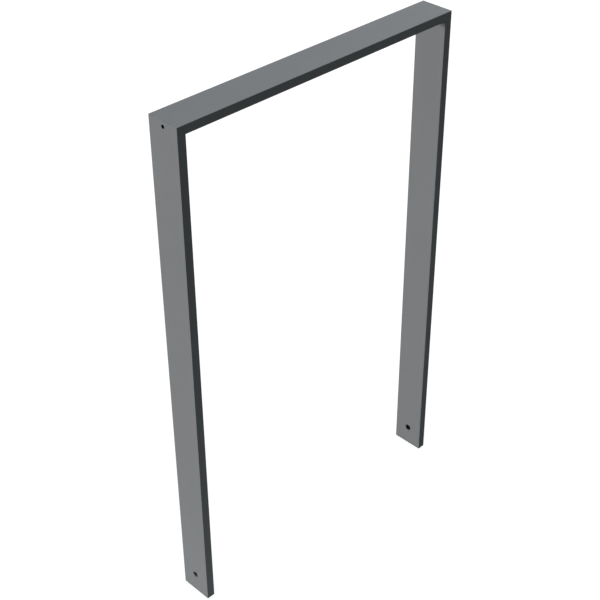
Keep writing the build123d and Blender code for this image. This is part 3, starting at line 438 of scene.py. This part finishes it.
def make_coax_boots():
    """Ribbed strain-relief boots where each coax lead meets a ferrule, at the reader and at the antenna."""
    radius = COAX_RADIUS * MM
    for side_name in ("left", "right"):
        for level in ("lower", "upper"):
            low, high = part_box(f"{side_name}_{level}_coax")
            plate_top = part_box(f"{side_name}_{level}_ground_plate")[1].z
            y = (low.y + high.y) / 2
            shape = bmesh.new()
            turn(shape, Vector((low.x + radius, y, low.z)), Z_AXIS, BOOT_PROFILE)
            if side_name == "left":
                turn(shape, Vector((low.x + radius, y, high.z)), -Z_AXIS, BOOT_PROFILE)
            else:
                antenna_end = Vector((high.x - radius, y, plate_top + FERRULE_LENGTH * MM))
                turn(shape, antenna_end, Z_AXIS, BOOT_PROFILE)
            settle(f"{side_name}_{level}_coax_boots", shape, "gate", "lead_jacket")


# ---------------------------------------------------------------- on the reader's lid
LID_THICKNESS = 1.6
LID_MARGIN = 12.5
RATING_HALF_WIDTH, RATING_HALF_HEIGHT = 30, 7
RATING_CORNER, RATING_CORNER_STEPS = 2, 6
RATING_THICKNESS = 0.5
RATING_RIM, RATING_RIM_SLOPE, RATING_FIELD_DEPTH = 0.9, 0.15, 0.2
RIVET_SIDES = (-26, 26)
RIVET_PROFILE = ((0, 0), (1.3, 0), (1.3, 0.55), (1.1, 0.85), (0.6, 1.05), (0, 1.1))
LIGHT_SIDES = (-10, 0, 10)
LENS_PROFILE = ((0, 0), (1.6, 0), (1.6, 0.5), (1.45, 0.95), (1.05, 1.35), (0.5, 1.55), (0, 1.6))
BEZEL_PROFILE = ((1.65, 0), (2.5, 0), (2.5, 0.35), (2.3, 0.55), (1.9, 0.55), (1.65, 0.35))


def add_rating_plate(shape, centre):
    """Adds a rounded plate that stands on centre and faces +X, with a sunken field inside its rim."""
    outline = []
    for quarter, (side, up) in enumerate(((1, 1), (-1, 1), (-1, -1), (1, -1))):
        for step in range(RATING_CORNER_STEPS + 1):
            angle = math.pi / 2 * (quarter + step / RATING_CORNER_STEPS)
            y = side * (RATING_HALF_WIDTH - RATING_CORNER) + RATING_CORNER * math.cos(angle)
            z = up * (RATING_HALF_HEIGHT - RATING_CORNER) + RATING_CORNER * math.sin(angle)
            outline.append(shape.verts.new(centre + Vector((0, y, z)) * MM))
    grown = bmesh.ops.extrude_face_region(shape, geom=[shape.faces.new(outline)])["geom"]
    front_corners = [part for part in grown if isinstance(part, bmesh.types.BMVert)]
    bmesh.ops.translate(shape, verts=front_corners, vec=X_AXIS * RATING_THICKNESS * MM)
    front = next(part for part in grown if isinstance(part, bmesh.types.BMFace))
    bmesh.ops.inset_region(shape, faces=[front], thickness=RATING_RIM * MM, depth=0)
    bmesh.ops.inset_region(
        shape, faces=[front], thickness=RATING_RIM_SLOPE * MM, depth=-RATING_FIELD_DEPTH * MM
    )


def make_reader_details():
    """On the reader's lid: a blank rating plate over the fins, and three small status lights under them."""
    low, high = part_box("reader_housing")
    lid_x = high.x + LID_THICKNESS * MM
    middle = (low.y + high.y) / 2
    rating, rivets = bmesh.new(), bmesh.new()
    add_rating_plate(rating, Vector((lid_x, middle, high.z - LID_MARGIN * MM)))
    for side in RIVET_SIDES:
        base = Vector((lid_x, middle + side * MM, high.z - LID_MARGIN * MM))
        turn(rivets, base, X_AXIS, RIVET_PROFILE, COARSE)
    settle("reader_rating_plate", rating, "gate", "reader_coating")
    settle("rating_plate_rivets", rivets, "gate", "bright_steel")
    lenses, bezels = bmesh.new(), bmesh.new()
    for side in LIGHT_SIDES:
        base = Vector((lid_x, middle + side * MM, low.z + LID_MARGIN * MM))
        turn(lenses, base, X_AXIS, LENS_PROFILE, MEDIUM)
        turn(bezels, base, X_AXIS, BEZEL_PROFILE, MEDIUM)
    settle("reader_lights", lenses, "gate", "nylon_white")
    settle("reader_light_bezels", bezels, "gate", "reader_coating")


# ---------------------------------------------------------------- screws of the reader's lid
SHANK_RADIUS = 1.4
HEAD_RADIUS, HEAD_HEIGHT, HEAD_RIM = 2.75, 1.8, 0.7
HEAD_RINGS, HEAD_STEPS = 22, 64
CROSS_HALF_WIDTH, CROSS_REACH, CROSS_DEPTH = 0.36, 1.55, 1.2
CROSS_STEEPNESS = 0.4


def head_height(y, z):
    """How far the head reaches out at a place on it: a dome with a cross sunk into it."""
    across = min(1, math.hypot(y, z) / HEAD_RADIUS)
    height = HEAD_RIM + (HEAD_HEIGHT - HEAD_RIM) * math.sqrt(1 - across ** 2)
    near, far = sorted((abs(y), abs(z)))
    if near < CROSS_HALF_WIDTH and far < CROSS_REACH:
        height -= CROSS_DEPTH * (1 - far / CROSS_REACH) ** CROSS_STEEPNESS
    return height


def add_cross_head(shape, base):
    """Adds a pan head on base, facing +X."""
    rings = []
    for ring in range(HEAD_RINGS + 1):
        radius = HEAD_RADIUS * ring / HEAD_RINGS
        verts = []
        for step in range(HEAD_STEPS):
            angle = 2 * math.pi * step / HEAD_STEPS
            y, z = radius * math.cos(angle), radius * math.sin(angle)
            verts.append(shape.verts.new(base + Vector((head_height(y, z), y, z)) * MM))
        rings.append(verts)
    rings.append([shape.verts.new(Vector((base.x, vert.co.y, vert.co.z))) for vert in rings[-1]])
    for ring, following in zip(rings, rings[1:]):
        join(shape, ring, following)
    shape.faces.new(rings[-1])


def make_lid_screws():
    """The lid's screws with a cross in their heads, in place of the plain ones."""
    low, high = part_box("reader_lid_screws")
    lid_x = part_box("reader_housing")[1].x + LID_THICKNESS * MM
    length = (lid_x - low.x) / MM
    shank = ((0, 0), (SHANK_RADIUS, 0), (SHANK_RADIUS, length), (0, length))
    inset = HEAD_RADIUS * MM
    shape = bmesh.new()
    for y, z in itertools.product((low.y + inset, high.y - inset), (low.z + inset, high.z - inset)):
        turn(shape, Vector((low.x, y, z)), X_AXIS, shank, COARSE)
        add_cross_head(shape, Vector((lid_x, y, z)))
    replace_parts(settle("lid_screws", shape, "gate", "bright_steel"), "reader_lid_screws")


# ---------------------------------------------------------------- glue round the magnets of the covers
MAGNET_RADIUS = 5.0
GLUE_PROFILE = ((4.9, 0), (6.4, 0), (6.1, 0.35), (5.6, 0.8), (5.05, 1.3), (4.9, 1.3))


def make_magnet_glue():
    """Beads of glue round the magnets on the back of each service cover."""
    inset = MAGNET_RADIUS * MM
    for side_name in ("left", "right"):
        low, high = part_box(f"{side_name}_cover_magnets")
        back, away = (high.x, -X_AXIS) if side_name == "left" else (low.x, X_AXIS)
        shape = bmesh.new()
        for y, z in itertools.product((low.y + inset, high.y - inset), (low.z + inset, high.z - inset)):
            turn(shape, Vector((back, y, z)), away, GLUE_PROFILE)
        settle(f"{side_name}_magnet_glue", shape, f"{side_name}_service_cover", "nylon_white")


# ---------------------------------------------------------------- tracks on the feed boards
FEED_THICKNESS = 1.6
TRACK_THICKNESS = 0.07
TRACK_HALF_WIDTH = 1.2
STUB_REACH = 2.4
STUB_START, STUB_END = 12, 30
TERMINAL_WIDTH = 5.6
TAB_HALF = 6.0
PIN_PLACES = (60.0, 270.0)
SOLDER_PROFILE = ((0.95, 0), (2.1, 0), (1.9, 0.3), (1.45, 0.75), (1.15, 1.3), (0.95, 1.5))


def add_strip(shape, face_x, out, low, high):
    """Adds a thin copper track on a board, from the corner (y, z) low to high."""
    middle = (low[0] + high[0]) / 2
    lift = out * TRACK_THICKNESS * MM / 2
    points = [Vector((face_x, middle, z)) + lift for z in (low[1], high[1])]
    strand(shape, points, Y_AXIS * (high[0] - low[0]) / 2, X_AXIS * TRACK_THICKNESS * MM / 2)


def add_feed(tracks, solder, side_name, level):
    """Adds one antenna's feed line, its branch to the terminal, a stub on each side, and the solder."""
    low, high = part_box(f"{side_name}_{level}_ground_plate")
    left = side_name == "left"
    out = X_AXIS if left else -X_AXIS
    face_x = (high.x if left else low.x) + out.x * FEED_THICKNESS * MM
    lane = low.y if abs(low.y) > high.y else high.y
    pins = [low.z + place * MM for place in PIN_PLACES]
    end = low.z + TAB_HALF * MM if left else high.z - TAB_HALF * MM
    half = TRACK_HALF_WIDTH * MM
    add_strip(tracks, face_x, out, (-half, min(pins + [end - half])), (half, max(pins + [end + half])))
    reach = lane - math.copysign(TERMINAL_WIDTH * MM, lane)
    near = math.copysign(half, lane)
    add_strip(tracks, face_x, out, (min(near, reach), end - half), (max(near, reach), end + half))
    wide = STUB_REACH * half
    for pin in pins:
        for edges in ((-wide, -half), (half, wide)):
            start, stop = pin + STUB_START * MM, pin + STUB_END * MM
            add_strip(tracks, face_x, out, (edges[0], start), (edges[1], stop))
        turn(solder, Vector((face_x, 0, pin)), out, SOLDER_PROFILE, MEDIUM)


def make_feed_tracks():
    """Copper feed lines and the solder at the patch pins, on the feed boards of each leg."""
    for side_name in ("left", "right"):
        tracks, solder = bmesh.new(), bmesh.new()
        for level in ("lower", "upper"):
            add_feed(tracks, solder, side_name, level)
        settle(f"{side_name}_feed_tracks", tracks, "gate", "patch_copper")
        settle(f"{side_name}_feed_solder", solder, "gate", "bright_steel")


# ---------------------------------------------------------------- mesh of the sounder
MESH_PITCH = 0.9
MESH_WIRE = 0.16
MESH_RADIUS = 11.0


def make_sounder_mesh():
    """Woven wire mesh over the sounder's port, behind the sound holes."""
    low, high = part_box("sounder")
    centre = Vector(((low.x + high.x) / 2, (low.y + high.y) / 2, low.z - 2 * MESH_WIRE * MM))
    half = MESH_WIRE / 2 * MM
    count = int(MESH_RADIUS / MESH_PITCH)
    shape = bmesh.new()
    for along, across, sign in ((X_AXIS, Y_AXIS, 1), (Y_AXIS, X_AXIS, -1)):
        for number in range(-count, count + 1):
            reach = math.sqrt(MESH_RADIUS ** 2 - (number * MESH_PITCH) ** 2)
            steps = int(reach / MESH_PITCH)
            points = []
            for step in range(-2 * steps, 2 * steps + 1):
                weave = sign * math.cos(math.pi * (step / 2 + number)) * MESH_WIRE / 2
                offset = along * step * MESH_PITCH / 2 + across * number * MESH_PITCH + Z_AXIS * weave
                points.append(centre + offset * MM)
            if len(points) > 1:
                strand(shape, points, across * half, Z_AXIS * half)
    settle("sounder_mesh", shape, "gate", "bright_steel")


# ---------------------------------------------------------------- contacts of the network jack
CONTACT_COUNT = 8
CONTACT_PITCH = 1.02
CONTACT_HALF_WIDTH, CONTACT_HALF_THICKNESS = 0.2, 0.12
# Places along a contact: depth and height over the jack's low corner
CONTACT_ROUTE = ((4.2, 1.6), (7.6, 9), (7.6, 11.6))


def make_jack_contacts():
    """Sprung contacts in the mouth of the reader's network jack."""
    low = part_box("network_jack")[0]
    shape = bmesh.new()
    for number in range(CONTACT_COUNT):
        y = (number - (CONTACT_COUNT - 1) / 2) * CONTACT_PITCH * MM
        points = [Vector((low.x + depth * MM, y, low.z + height * MM)) for depth, height in CONTACT_ROUTE]
        strand(shape, points, Y_AXIS * CONTACT_HALF_WIDTH * MM, X_AXIS * CONTACT_HALF_THICKNESS * MM)
    settle("network_jack_contacts", shape, "gate", "terminal_brass")


# ---------------------------------------------------------------- the whole scene
make_camera()
make_studio()
FINISHES = make_finishes()
coat_nodes(FINISHES)
make_coax_boots()
make_reader_details()
make_lid_screws()
make_magnet_glue()
make_feed_tracks()
make_sounder_mesh()
make_jack_contacts()
